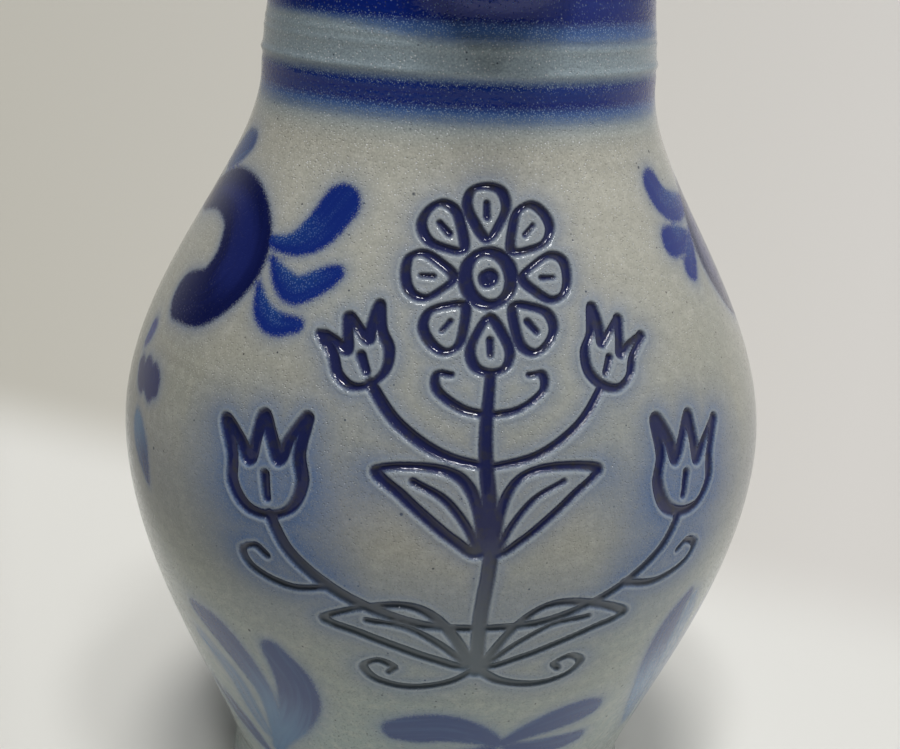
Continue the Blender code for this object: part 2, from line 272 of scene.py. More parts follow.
layout = {  # degrees from the spout to a flower and to the sprig, and how far round copies are moved
    "flank": 88.0, "sprigMiddle": 7.5, "rightFlower": 13.5, "rightLeaves": 10.0, "nextLeaves": 62.0,
}


def paintedStrokes():  # every stroke as (tone, line)
    strokes = []

    def brush(stroke, mirror=1, shift=0.0):
        tone, points = stroke
        line = smoothLine([(mirror * turn + shift, height, width) for turn, height, width in points])
        strokes.append((tone, line))

    opposite = 2 * layout["flank"]
    for name, stroke in cobaltStrokes.items():
        brush(stroke)
        brush(stroke, -1, -opposite)  # the flower's back half mirrors its front half
        if name in rightDabs:
            brush(rightDabs[name])
        else:
            brush(stroke, -1, layout["rightFlower"])
        brush(stroke, 1, opposite + layout["rightFlower"])
    for name, stroke in lowLeaves.items():
        brush(stroke)
        brush(stroke, 1, -layout["nextLeaves"])
        if name != "darkLeaf":
            brush(stroke, -1, layout["rightLeaves"])
        brush(stroke, -1, layout["rightLeaves"] + layout["nextLeaves"])
    for stroke in rightLeaves:
        brush(stroke)
    for stroke in frontSprig:
        brush(stroke)
        brush(stroke, 1, 180 - layout["sprigMiddle"])  # and again under the handle
    return strokes


# The incised sprig on the front: a rosette on a stem with tulips, leaves and tendrils, cut with a stylus.
# Lines are (turn, height) or, in a flower or leaf, (across, up) in mm from its root; a third number is
# the width.
incisedSprig = {
    "depth": 0.95, "shoulder": (0.25, -1.0), "burr": 0.17, "burrAt": (0.55, 0.4),  # mm from a groove's edge
    "stylus": 3.1, "fineStylus": 2.3, "flowerStylus": 2.79, "leafStylus": 2.5, "veinStylus": 1.9,
    "penTurn": 25.0, "penLeast": 0.78, "penMore": 0.46, "penPower": 1.5,  # a flat pen, held at a slant
    "rosette": (0.0, 177.0), "core": 5.4, "eye": 1.2, "petals": 8, "petalRoot": 8.0,
    "petal": mirrored([(0, 0), (-3.0, 3.4), (-4.6, 7.0), (-3.4, 10.2), (0, 11.2)]),
    "petalVein": [(0, 4.6, 1.7), (0, 7.6, 1.5)],
    "stem": [(0, 157.5, 2.4), (-0.8, 142, 3.0), (0.5, 120, 3.2), (-0.3, 100, 3.2), (0, 83, 3.0)],
    "bud": (19.5, 154.0, 30.0, 0.74),  # turn, height, lean in degrees, size
    "budStem": [(0.2, 138, 2.2), (7.5, 140.5, 2.6), (14.5, 146.5, 2.6), (19.5, 154, 2.4)],
    "tulip": (33.5, 121.0, 12.0, 1.12),
    "tulipStem": [(0.2, 97, 2.4), (10, 98, 2.9), (21, 103.5, 3.1), (29.5, 112, 2.9), (33.5, 121, 2.6)],
    "flower": mirrored([(0, 0), (5.6, 1.6), (8.7, 6.6), (8.4, 12.6), (10.2, 19.6), (6.2, 15.6), (3.7, 11.4),
                        (1.9, 16.0), (0, 20.6)]),
    "flowerHeart": [(0, 3.6, 1.8), (0, 8.6, 2.2)],
    "upperLeaf": (1.0, 117.0, 52.0, 31.0, 6.0),  # turn, height, lean, length, half width
    "lowerLeaf": (1.0, 84.5, 72.0, 38.0, 6.4),
    "leafBow": 0.17, "leafSwell": [(0.02, 0.0), (0.25, 0.75), (0.5, 1.0), (0.75, 0.7), (1.0, 0.0)],
    "tendril": [(0, 84, 2.6), (4.5, 79.6, 2.4), (11, 77.4, 2.3), (16.6, 79, 2.2), (18.6, 82.8, 2.1),
                (16.2, 85.4, 2.0), (13.6, 83.8, 1.9), (14.4, 81.8, 1.7)],
    "sideTendril": [(23.2, 105.5, 2.4), (30, 103.2, 2.3), (36.5, 105.4, 2.2), (38.6, 109.6, 2.1),
                    (36.2, 112, 2.0), (34, 110.2, 1.8)],
    "topTendril": [(0, 149, 2.2), (4.5, 150.2, 2.2), (8.6, 153.8, 2.1), (8.8, 157.2, 1.9),
                   (6.4, 157.2, 1.7)],
}


def onWall(turn, height, across, up):  # a point some mm beside and above a place on the wall
    high = height + up
    return (turn + math.degrees(across / float(radiusAt(high))), high)


def leaned(points, lean, size, width):  # a drawing turned to the right, each point with a width
    c, d = math.cos(math.radians(lean)) * size, math.sin(math.radians(lean)) * size
    return [(x * c + y * d, y * c - x * d, (wide or [width])[0]) for x, y, *wide in points]


def incisedLines():  # every groove as (turn, height, width) samples
    s = incisedSprig
    lines = []

    def cut(points, closed=False, sides=(1, -1)):
        for side in sides:
            line = smoothLine([(side * turn, height, width) for turn, height, width in points], closed)
            step = np.gradient(line[:, :2], axis=0)
            slant = np.arctan2(step[:, 1], np.radians(step[:, 0]) * radiusAt(line[:, 1]))
            pen = np.abs(np.sin(slant - math.radians(s["penTurn"])))
            line[:, 2] *= s["penLeast"] + s["penMore"] * pen ** s["penPower"]
            lines.append(line)

    def draw(root, points, closed=False, sides=(1, -1)):
        cut([onWall(*root, x, y) + (width,) for x, y, width in points], closed, sides)

    for radius, width in ((s["core"], s["stylus"]), (s["eye"], s["fineStylus"])):
        circle = [(x, y, width) for x, y in arcPoints((0, 0), radius, 0, 330, 11)]  # twelve points
        draw(s["rosette"], circle, True, (1,))
    for number in range(s["petals"]):
        lean = 360 * number / s["petals"]
        for outline, closed in ((s["petal"], True), (s["petalVein"], False)):
            lifted = [(x, y + s["petalRoot"], *wide) for x, y, *wide in outline]
            draw(s["rosette"], leaned(lifted, lean, 1, s["fineStylus"]), closed, (1,))
    cut(s["stem"], sides=(1,))
    for key in ("budStem", "tulipStem", "tendril", "sideTendril", "topTendril"):
        cut(s[key])
    for key in ("bud", "tulip"):
        *root, lean, size = s[key]
        draw(root, leaned(s["flower"], lean, size, s["flowerStylus"] * size ** 0.5), True)
        draw(root, leaned(s["flowerHeart"], lean, size, s["fineStylus"]))
    for key in ("upperLeaf", "lowerLeaf"):
        *root, lean, length, half = s[key]
        vein = [(-s["leafBow"] * length * math.sin(math.pi * t), length * t) for t, _ in s["leafSwell"]]
        swell = [half * share for _, share in s["leafSwell"]]
        lowSide = [(x - wide, y) for (x, y), wide in zip(vein, swell)]
        highSide = [(x + wide, y) for (x, y), wide in zip(vein, swell)]
        draw(root, leaned(lowSide + highSide[3:0:-1], lean, 1, s["leafStylus"]), True)
        draw(root, leaned(vein[:4], lean, 1, s["veinStylus"]))
    return lines


# How a brush lays its cobalt: the tones above which it counts as full, as dry or as an even wash, and below
# which it is faint. Pairs are a start and a length: mm from the edge for the rim, else shares of a stroke.
brushHabit = {
    "full": 0.9, "dry": 0.65, "even": 0.58, "faint": 0.4, "denseRim": (2.0, 4.5), "reloaded": (0.66, 0.16),
    "dryLevel": 0.28, "drySlope": 1.3, "leastWidth": 2.0, "dryFrom": (0.0, 0.15), "dryUntil": (0.6, 0.3),
    "washPales": (0.3, 0.5),
}
strokeReach, farOff = 12.0, 20.0  # mm beside a stroke that are looked at, and what counts as far from all
drawnFields = ("ink", "inkTone", "inkThin", "inkAcross", "inkAlong", "cutInk", "vapour", "outer")
edgeLevel, inkMost, cutMost = 6.0, 16.0, 8.0  # "ink" and "cutInk" at an edge, from where they rise inward


def nearStroke(places, line):  # the places near a line, how far from its edge, and their nearest sample
    centre = wallPoints(line[:, 0], line[:, 1])
    middle = centre.mean(axis=0)
    reach = np.linalg.norm(centre - middle, axis=1).max() + line[:, 2].max() / 2 + strokeReach
    near = np.flatnonzero(np.linalg.norm(places - middle, axis=1) < reach)
    gap = np.linalg.norm(places[near, None] - centre[None], axis=2) - line[None, :, 2] / 2
    best = gap.argmin(axis=1)
    return near, gap[np.arange(len(near)), best], best


def paintFields(places):  # distance past the brush's edge, tone, thinness, place across and along
    b = brushHabit
    edge = np.full(len(places), farOff)
    tone, thin, across, along = (np.zeros(len(places)) for _ in range(4))

    for strokeTone, line in paintedStrokes():
        near, gap, best = nearStroke(places, line)
        first = gap < edge[near]
        near, gap, best = near[first], gap[first], best[first]
        edge[near] = gap
        tone[near] = strokeTone
        share = best / (len(line) - 1)
        centre = wallPoints(line[:, 0], line[:, 1])
        step = np.gradient(centre, axis=0)
        aside = np.cross(centre * (1, 1, 0), step)
        aside /= np.linalg.norm(aside, axis=1)[:, None]
        across[near] = ((places[near] - centre[best]) * aside[best]).sum(axis=1)
        along[near] = np.cumsum(np.linalg.norm(step, axis=1))[best]
        if strokeTone > b["full"]:  # paler down its middle, dense again where it is lifted
            thin[near] = ease(-gap, *b["denseRim"]) * (1 - ease(share, *b["reloaded"]))
        elif strokeTone > b["dry"]:  # a drier brush leaves its upper side thin
            above = (places[near, 2] - line[best, 1]) / np.maximum(line[best, 2], b["leastWidth"])
            dry = np.clip(b["dryLevel"] + b["drySlope"] * above, 0, 1)
            thin[near] = dry * ease(share, *b["dryFrom"]) * (1 - ease(share, *b["dryUntil"]))
        elif strokeTone < b["faint"]:
            thin[near] = 1
        else:  # a wash pales towards the end of its stroke
            thin[near] = ease(share, *b["washPales"]) * (strokeTone < b["even"])
    return edge, tone, thin, across, along


def cutFields(places):  # distance past the stylus' edge
    edge = np.full(len(places), farOff)
    for line in incisedLines():
        near, gap, _ = nearStroke(places, line)
        edge[near] = np.minimum(edge[near], gap)
    return edge


# Cobalt vapour settled round the tulips most of all, in a belt under them, beside strokes and on the neck.
# Heights and reaches are in mm, turns in degrees from the spout; the tulips add more round their cuts.
cobaltVapour = {
    "tulips": (120.0, 21.0), "tulipTurn": (12.0, 12.0), "tulipMore": (0.45, 10.0), "cuts": (0.7, 3.2),
    "belt": 0.4, "beltAt": (101.0, 13.0), "beltTurn": (55.0, -25.0), "brush": (0.75, 2.2),
    "neck": 0.25, "neckFrom": (202.0, 12.0), "bands": 0.95, "bandFoot": (-0.6, 2.4), "bandTop": (0.0, 1.7),
}


def settledVapour(wall, edge, cut):
    v, f = cobaltVapour, stonewareFinish
    height = wall[:, 2]
    turn = np.abs(np.degrees(np.arctan2(wall[:, 0], -wall[:, 1])))
    haze = hump(height, *v["tulips"]) * ease(turn, *v["tulipTurn"])
    level, reach = (base + more * haze for base, more in zip(v["cuts"], v["tulipMore"]))
    vapours = [
        level * np.exp(-np.maximum(cut, 0) / reach),
        v["brush"][0] * np.exp(-np.maximum(edge, 0) / v["brush"][1]),
        v["belt"] * hump(height, *v["beltAt"]) * ease(turn, *v["beltTurn"]),
        v["neck"] * ease(height, *v["neckFrom"]),
    ]
    start, stop, lift = f["bandLift"]
    lifted = lift * ease(wall[:, 0], start, stop - start)
    for (washAt, _, topAt), raised in ((f["lowBand"], 0), (f["highBand"], lifted)):
        for beside, (offset, reach) in ((washAt + raised, v["bandFoot"]), (topAt, v["bandTop"])):
            vapours.append(v["bands"] * hump(height, beside + offset, reach))
    return np.minimum(np.max(vapours, axis=0), 1)


def depthInside(places):  # mm behind the outer side
    return radiusAt(places[:, 2]) - np.hypot(places[:, 0], places[:, 1])


def onOuterSide(places):  # above the edge of the base
    return (depthInside(places) < thrownWall["skin"]) & (places[:, 2] > thrownWall["baseEdge"])


def refine(bm, fields, reach, cuts):  # faces near a painted edge or a groove get smaller
    places = np.array([v.co for v in bm.verts])
    outside = onOuterSide(places)
    near = np.full(len(places), farOff)
    near[outside] = np.abs(fields(places[outside]))
    bm.verts.index_update()
    faces = [f for f in bm.faces if min(near[v.index] for v in f.verts) < reach]
    edges = list(dict.fromkeys(e for f in faces for e in f.edges))  # each once, always in the same order
    bmesh.ops.subdivide_edges(bm, edges=edges, cuts=cuts, use_grid_fill=True)


def pullSpout(places):
    s, rim = pulledSpout, thrownWall["rim"]
    rise = ease(places[:, 2], rim[1] - s["depth"], s["depth"])
    radius = np.maximum(np.hypot(places[:, 0], places[:, 1]), 0.01)  # never 0, also on the axis
    sideways = rim[0] * np.abs(np.arctan2(places[:, 0], -places[:, 1]))
    pull = (1 - np.minimum(sideways / s["halfWidth"], 1) ** 2) ** 2
    beside = np.minimum(np.abs(sideways - s["halfWidth"]) / s["halfWidth"], 1)
    pinch = 0.5 + 0.5 * np.cos(math.pi * beside)
    places[:, :2] *= (1 - rise * s["pinch"] * pinch / radius)[:, None]
    places[:, 1] -= rise * s["reach"] * pull
    places[:, 2] -= rise * s["dip"] * pull


def ridgeInside(places):  # soft throwing ridges on the lining
    w = thrownWall
    inside = np.flatnonzero((depthInside(places) > w["lining"]) & (places[:, 2] > w["ridgeFrom"]))
    x, y, height = places[inside].T
    fade = ease(height, w["ridgeFrom"], w["ridgeFade"]) * ease(height, w["ridgeTo"], -w["ridgeFade"])
    wave = np.sin(2 * math.pi * height / w["ridgePitch"] + np.arctan2(y, x))
    places[inside, :2] *= (1 + w["ridges"] * fade * wave / np.hypot(x, y))[:, None]


def finishedPiece(name, bm, materials):
    mesh = bpy.data.meshes.new(name)
    bm.to_mesh(mesh)
    bm.free()
    mesh.shade_smooth()
    piece = bpy.data.objects.new(name, mesh)
    scene.collection.objects.link(piece)
    for material in materials:
        mesh.materials.append(material)
    return piece


def throwBody(materials):
    w, s = thrownWall, incisedSprig
    bm = bmesh.new()
    base = np.linspace(outerSide[-1], (0, 0), w["outerRows"]["base"] + 1)
    outline = joined([innerOutline(), outerSide, base])
    chain = [bm.verts.new((radius, 0, height)) for radius, height in outline]
    for upper, lower in zip(chain, chain[1:]):
        bm.edges.new((upper, lower))
    bmesh.ops.spin(bm, geom=bm.verts[:] + bm.edges[:], cent=(0, 0, 0), axis=(0, 0, 1), angle=2 * math.pi,
                   steps=w["columns"], use_merge=True)
    bmesh.ops.remove_doubles(bm, verts=bm.verts, dist=0.001)
    bmesh.ops.recalc_face_normals(bm, faces=bm.faces)
    print("wall thrown:", len(bm.faces), "faces")
    refine(bm, lambda places: paintFields(places)[0], *w["brushRefine"])
    refine(bm, cutFields, *w["grooveRefine"])
    bmesh.ops.triangulate(bm, faces=[f for f in bm.faces if len(f.verts) > 4])
    for face in bm.faces:  # the flat of the base is bare
        face.material_index = int(max(v.co.z for v in face.verts) < w["bareBelow"])
    print("wall refined:", sum(len(f.verts) - 2 for f in bm.faces), "triangles")

    body = finishedPiece("thrownBody", bm, materials)
    mesh = body.data
    places = np.empty((len(mesh.vertices), 3))
    mesh.vertices.foreach_get("co", places.ravel())
    outside = np.flatnonzero(onOuterSide(places))
    wall = places[outside]
    height = wall[:, 2]
    edge, tone, thin, across, along = paintFields(wall)
    cut = cutFields(wall)
    relief = s["burr"] * hump(cut, *s["burrAt"])
    relief -= s["depth"] * ease(cut, *s["shoulder"])
    for where, rise, half in w["neckLines"]:
        relief += rise * hump(height, where, half)
    radius = np.hypot(wall[:, 0], wall[:, 1])
    belowLip = height < lipCentre[1]  # the lip keeps its turned shape
    places[outside, :2] *= np.where(belowLip, (radiusAt(height) + relief) / radius, 1)[:, None]
    ridgeInside(places)
    pullSpout(places)
    mesh.vertices.foreach_set("co", (places * mm).ravel())
    mesh.update()
    ink, cutInk = np.clip(edgeLevel - edge, 0, inkMost), np.clip(edgeLevel - cut, 0, cutMost)
    drawn = (ink, tone, thin, across, along, cutInk, settledVapour(wall, edge, cut), 1)
    for name, values in zip(drawnFields, drawn):
        field = np.zeros(len(places), np.float32)
        field[outside] = values
        mesh.attributes.new(name, "FLOAT", "POINT").data.foreach_set("value", field)
    return body


# The strap handle: (distance from the axis, height) of its route, and its section, in mm.
strapHandle = {
    "topHeight": 232.0, "footHeight": 150.0, "bend": (100.0, 205.0), "lift": 20.0, "topSweep": 36.0,
    "sweepAbove": 24.0, "sweepBelow": 30.0, "footSweep": 22.0, "embed": 5.0,
    "width": 32.0, "thickness": 12.0, "edgeShape": 0.75, "faceShape": 0.85,
    "ridgeDepth": 1.2, "scales": (1.08, 0.95, 0.95), "ringPoints": 44, "routeSteps": 46,
    # the potter's thumb pressed the strap's lower end on
    "thumbDrop": 13.0, "thumbDepth": 1.8, "thumbHalf": 8.0, "thumbShape": 0.8, "thumbFace": 9.0,
    "thumbTop": (190.0, -20.0),
}


def routePlaces():  # matrices that set a strap section at each step, from the neck down to the belly
    h = strapHandle
    top, foot = (np.array((float(radiusAt(h[key])), h[key])) for key in ("topHeight", "footHeight"))
    lift = np.array((math.cos(math.radians(h["lift"])), math.sin(math.radians(h["lift"]))))
    slope = float(radiusAt(h["footHeight"] + 1) - radiusAt(h["footHeight"] - 1)) / 2
    side = np.array((1, -slope)) / math.hypot(1, slope)
    bend = np.array(h["bend"])
    neckEnd = (top - lift * h["embed"], top + lift * h["topSweep"])
    bellyEnd = (foot + side * h["footSweep"], foot - side * h["embed"])
    upper = curvePoints((*neckEnd, bend + (0, h["sweepAbove"]), bend), h["routeSteps"])
    lower = curvePoints((bend, bend - (0, h["sweepBelow"]), *bellyEnd), h["routeSteps"])
    route = joined([upper, lower])
    scale = np.interp(np.linspace(0, 1, len(route)), (0, 0.5, 1), h["scales"])
    ahead = np.gradient(route, axis=0)
    ahead /= np.linalg.norm(ahead, axis=1)[:, None]
    places = []
    for (depth, height), (run, rise), size in zip(route, ahead, scale):
        across, out, along = Vector((size, 0, 0)), Vector((0, -rise, run)) * size, Vector((0, run, rise))
        place = Matrix((across, out, along)).transposed().to_4x4()
        place.translation = (0, depth, height)
        places.append(place)
    return places


def strapSection(bm, grow):  # a flat oval with a shallow channel down its outer face
    h = strapHandle
    ring = bmesh.ops.create_circle(bm, segments=h["ringPoints"], radius=1.0)["verts"]
    for vert in ring:
        c, s = vert.co.x, vert.co.y
        across = (h["width"] / 2 + grow) * math.copysign(abs(c) ** h["edgeShape"], c)
        through = (h["thickness"] / 2 + grow) * math.copysign(abs(s) ** h["faceShape"], s)
        if through > 0:
            through -= h["ridgeDepth"] * max(0, math.cos(2 * math.pi * across / h["width"])) ** 2
        vert.co = (across, through, 0)
    return ring, list(dict.fromkeys(e for v in ring for e in v.link_edges))


def extrudeRing(bm, edges, step):  # the next ring, moved on by a matrix
    made = bmesh.ops.extrude_edge_only(bm, edges=edges)["geom"]
    ring = [part for part in made if isinstance(part, bmesh.types.BMVert)]
    bmesh.ops.transform(bm, matrix=step, verts=ring)
    return ring, [part for part in made if isinstance(part, bmesh.types.BMEdge)]


def sweepStrap(bm, places, grow=0.0):  # its rings, and the edges of the first and the last
    ring, edges = strapSection(bm, grow)
    firstEdges, rings = edges, [ring]
    bmesh.ops.transform(bm, matrix=places[0], verts=ring)
    for before, place in zip(places, places[1:]):
        ring, edges = extrudeRing(bm, edges, place @ before.inverted())
        rings.append(ring)
    return rings, firstEdges, edges


def closedPiece(name, bm, materials):
    bmesh.ops.recalc_face_normals(bm, faces=bm.faces)
    piece = finishedPiece(name, bm, materials)
    piece.data.transform(Matrix.Scale(mm, 4))
    return piece


def pullHandle(materials):
    h = strapHandle
    bm = bmesh.new()
    sweepStrap(bm, routePlaces())
    bmesh.ops.holes_fill(bm, edges=[e for e in bm.edges if e.is_boundary])
    thumbAt = h["footHeight"] + h["thumbDrop"]
    for vert in bm.verts:
        x, y, z = vert.co
        if y > float(radiusAt(z)) + h["thumbFace"]:
            reach = Vector((x, (z - thumbAt) * h["thumbShape"])).length / h["thumbHalf"]
            fade = float(ease(z, *h["thumbTop"]))
            vert.co.y -= h["thumbDepth"] * math.exp(-reach * reach) * fade
    return closedPiece("strapHandle", bm, materials)


# A smear of soft clay closes each joint of strap and wall.
lutingSmear = {
    "radius": 6.5, "above": 8.0, "below": 5.2, "overlap": 0.12, "inner": (0.9, 0.7),  # across and through
    "lumps": 0.2, "lumpPitch": 13.0, "lumpStart": 1.7, "lumpTilt": 0.7, "smoothing": 3, "softness": 0.4,
}


def smearLuting(name, places, materials):  # places run from the wall outward along the strap
    s, h = lutingSmear, strapHandle
    bm = bmesh.new()
    gaps = [place.translation.y - float(radiusAt(place.translation.z)) for place in places]
    rows = [place for place, gap in zip(places, gaps) if -s["below"] < gap < s["above"]][::-1]
    rings, firstEdges, edges = sweepStrap(bm, rows, s["overlap"])
    inward = rows[-1] @ Matrix.Diagonal((*s["inner"], 1, 1)) @ rows[-1].inverted()
    for step in (inward, rows[1] @ rows[-1].inverted()):  # and back again, inside the strap
        _, edges = extrudeRing(bm, edges, step)
    bmesh.ops.bridge_loops(bm, edges=edges + firstEdges)
    wave = 2 * math.pi / s["lumpPitch"]
    for ring, place in zip(rings, rows):
        flat = place.inverted()
        for vert in ring:
            x, y, z = vert.co
            gap = math.hypot(x, y) - float(radiusAt(z))
            rest = 1 - min(max(gap, 0), s["radius"]) / s["radius"]
            lump = 1 + s["lumps"] * math.sin(wave * x + s["lumpStart"]) * math.cos(s["lumpTilt"] * wave * z)
            across, through, _ = flat @ vert.co
            out = place.to_3x3() @ Vector((across / h["width"] ** 2, through / h["thickness"] ** 2, 0))
            vert.co += out.normalized() * s["radius"] * lump * (1 - math.sqrt(1 - rest * rest))
    verts = [vert for ring in rings[1:] for vert in ring]
    for _ in range(s["smoothing"]):
        bmesh.ops.smooth_vert(bm, verts=verts, factor=s["softness"],
                              use_axis_x=True, use_axis_y=True, use_axis_z=True)
    return closedPiece(name, bm, materials)


# Salt-glazed stoneware: grey clay under a thin clear glaze, dimpled like orange peel, with iron specks
# burnt black. It sparkles partly from the dimples' bump and partly from painted sparkle, white dots painted
# on them.
# Its cobalt soaks into the glaze, so brush edges feather and thin strokes show pale pits. Dimples and pits
# are drawn coarser than in life, because finer ones wouldn't show.
stonewareFinish = {
    "warmClay": "a5a498", "coolClay": "98a7a4", "paleAndLitClay": "cac9be", "neckClay": "a4b2b4",
    # the pale of pits in thin cobalt, also of painted sparkle on the bands, and the white of painted
    # sparkle on the clay
    "iron": "1c1a19", "vapour": "54709c", "pitAndSparkle": "a0bfec", "paintedSparkle": "f6fafb",
    # cobalt that lies dense and thin
    "navy": ("0f174c", "1d2768"), "blue": ("162d80", "23478a"), "slate": ("213f78", "4c77a0"),
    "bandBlue": ("0c257c", "1a3e8a"), "grooveBlue": ("12164c", "2c2a33"),
    "bandFringe": ("375fa2", "2e4672"), "grooveGrey": "57626a", "grooveRim": "bcc3c2",  # below, above
    "roughness": (0.08, 0.2), "grooveRoughness": 0.09, "ior": 1.5,
    "drift": 60 * mm, "mottle": 2.6 * mm, "grain": 0.5 * mm, "peel": 1.1 * mm, "rings": (9.0, 9.0, 420.0),
    "dimple": 0.8 * mm, "fineDimple": 0.5 * mm, "dimpleDepth": 0.16 * mm,
    "speck": (3.3 * mm, 0.32 * mm, 0.55), "bigSpeck": (10 * mm, 0.55 * mm, 0.6),  # spacing, radius, share
    # the rest are in mm: first the heights between which the look changes
    "warmHeights": (50.0, 125.0), "litShoulderHeights": (140.0, 190.0), "neckHeights": (202.0, 214.0),
    "coarseHeights": (190.0, 216.0), "paintedSparkleHeights": (125.0, 214.0), "blueHeights": (92.0, 122.0),
    "paintedSparkleShares": (0.06, 0.95),  # how much the painted sparkle shows at these heights
    "lowBand": (211.7, 213.2, 218.9), "highBand": (229.8, 232.2, 246.5),  # wash, full tone and top
    "bandWobble": 1.6, "bandRagged": 1.2,
    "bandLift": (-8.0, -46.0, 4.0),  # on the left the upper band's brush was lifted earlier
    "bristle": 1.1, "bristleRun": 20.0,  # width and length of the brush's streaks
    "brushEdge": (edgeLevel - 1.2, edgeLevel + 0.5), "grooveEdge": (edgeLevel - 0.3, edgeLevel + 0.5),
    "rimOutside": (edgeLevel - 1.1, edgeLevel - 0.5), "rimInside": (edgeLevel + 0.1, edgeLevel - 0.3),
}


def glazedStoneware(name, bands):
    f = stonewareFinish
    material, add, setShader = newMaterial(name)
    ink, tone, thin, across, along, cutInk, vapour, outer = (
        add("Attribute", attribute_name=field).outputs["Fac"] for field in drawnFields)
    place = add("TexCoord").outputs["Object"]
    axes = add("SeparateXYZ", [place])
    height = add("times", (axes.outputs["Z"], 1 / mm))
    drift, mottle, grain, peel = (
        add("TexNoise", {"Vector": place, "Scale": 1 / f[key], "Detail": detail})
        for key, detail in (("drift", 3.0), ("mottle", 4.0), ("grain", 3.0), ("peel", 1.0)))
    dimples, fineDimples = (
        add("TexVoronoi", {"Vector": place, "Scale": 1 / f[key]}) for key in ("dimple", "fineDimple"))
    ringPlace = add("Mapping", {"Vector": place, "Scale": f["rings"]})
    rings = add("TexNoise", {"Vector": ringPlace, "Scale": 1.0, "Detail": 3.0})

    # clay: warmer on the shoulder, cooler below, with throwing rings and grain,
    # and painted paler towards the shoulder as painted top light and sheen
    rise = add("MapRange", {0: height, span: f["warmHeights"], onto: (-0.45, 0.4)})
    warmth = add("plus", (drift, rise), use_clamp=True)
    clay = add("blend", {0: warmth, pair: (f["coolClay"], f["warmClay"])})
    pale = add("MapRange", {0: mottle, span: (0.45, 0.75), most: 0.35})
    # painted light: paler clay painted on the shoulder for the top light and sheen it catches
    litShoulder = add("MapRange", {0: height, span: f["litShoulderHeights"], most: 0.5})
    pale = add("plus", (pale, litShoulder), use_clamp=True)
    clay = add("blend", {0: pale, pair: (clay, f["paleAndLitClay"])})
    if bands:  # the neck caught the cobalt's vapour
        neckward = add("softRange", {0: height, span: f["neckHeights"]})
        clay = add("blend", {0: neckward, pair: (clay, f["neckClay"])})
    streak = add("MapRange", {0: rings, span: broad, onto: (0.95, 1.05)})
    coarse = add("MapRange", {0: height, span: f["coarseHeights"], onto: (0.1, 0.24)})
    speckle = add("MapRange", {0: grain, span: midway, onto: (-1.0, 1.0)})
    speckle = add("timesPlus", (speckle, coarse, 1.0))
    shade = add("times", (speckle, streak))
    colour = add("blend", {0: 1.0, pair: (clay, shade)}, blend_type="MULTIPLY")

    # painted sparkle: white dots painted on picked dimples stand in for glints, most of all on the neck
    dots = add("MapRange", {0: dimples, span: (0.34, 0.12)})
    fineDots = add("MapRange", {0: fineDimples, span: (0.42, 0.15)})
    chance = add("SeparateColor", [dimples.outputs["Color"]])
    picked = add("MapRange", {0: chance, span: (0.2, 0.85)})
    sparkleDots = add("times", (dots, picked))
    paintedSparkle = add("MapRange", {0: height, span: f["paintedSparkleHeights"], onto: f["paintedSparkleShares"]})
    paintedSparkle = add("times", (paintedSparkle, sparkleDots))
    colour = add("blend", {0: paintedSparkle, pair: (colour, f["paintedSparkle"])})

    # iron specks: small ones, and a few large
    for size, radius, share in (f["speck"], f["bigSpeck"]):
        spots = add("TexVoronoi", {"Vector": place, "Scale": 1 / size})
        dot = add("MapRange", {0: spots, span: (radius / size, 0.5 * radius / size), most: 0.85})
        chance = add("SeparateColor", [spots.outputs["Color"]])
        some = add("below", (chance, share))
        dot = add("times", (dot, some))
        colour = add("blend", {0: dot, pair: (colour, f["iron"])})

    # cobalt vapour, settled in a mottled veil
    veil = add("MapRange", {0: mottle, span: midway, onto: (0.82, 1.0)})
    veil = add("timesPlus", (fineDots, -0.3, veil))
    veil = add("times", (vapour, veil))
    colour = add("blend", {0: veil, pair: (colour, f["vapour"])})

    # brushed cobalt: navy from a full brush, blue with pale pits from a drier one, slate from a wash
    feather = add("MapRange", {0: grain, span: broad, onto: (-0.45, 0.45)})
    ink = add("plus", (ink, feather))
    ink = add("timesPlus", (fineDots, -0.7, ink))
    across = add("over", (across, f["bristle"]))
    along = add("over", (along, f["bristleRun"]))
    hairs = add("CombineXYZ", (across, along, drift))
    hairs = add("TexNoise", {"Vector": hairs, "Scale": 1.0, "Detail": 2.0})
    isBlue, isNavy, isFaint = (
        add("MapRange", {0: tone, span: tones}) for tones in ((0.62, 0.68), (0.85, 0.95), (0.45, 0.38)))
    cover = add("softRange", {0: ink, span: f["brushEdge"]})
    bare = add("MapRange", {0: hairs, span: (0.35, 0.65), most: 0.8})
    bare = add("times", (isFaint, bare))
    bare = add("minus", (1.0, bare))
    cover = add("times", (cover, bare))
    streaky = add("MapRange", {0: isBlue, onto: (0.5, 0.35)})
    streaks = add("MapRange", {0: hairs, span: broad, onto: (-0.5, 0.5)})
    thin = add("timesPlus", (streaks, streaky, thin), use_clamp=True)
    dry = add("minus", (isBlue, isNavy))
    dry = add("times", (dry, thin))
    pool = add("MapRange", {0: dry, onto: (0.8, 0.1)})
    pool = add("times", (pool, cover))
    pits = add("times", (fineDots, 0.6))
    pits = add("times", (pits, dry))
    tints = []
    for slate, blue, navy in zip(f["slate"], f["blue"], f["navy"]):
        tint = add("blend", {0: isBlue, pair: (slate, blue)})
        tints.append(add("blend", {0: isNavy, pair: (tint, navy)}))
    tint = add("blend", {0: thin, pair: tints})
    tint = add("blend", {0: pits, pair: (tint, f["pitAndSparkle"])})
    colour = add("blend", {0: cover, pair: (colour, tint)})

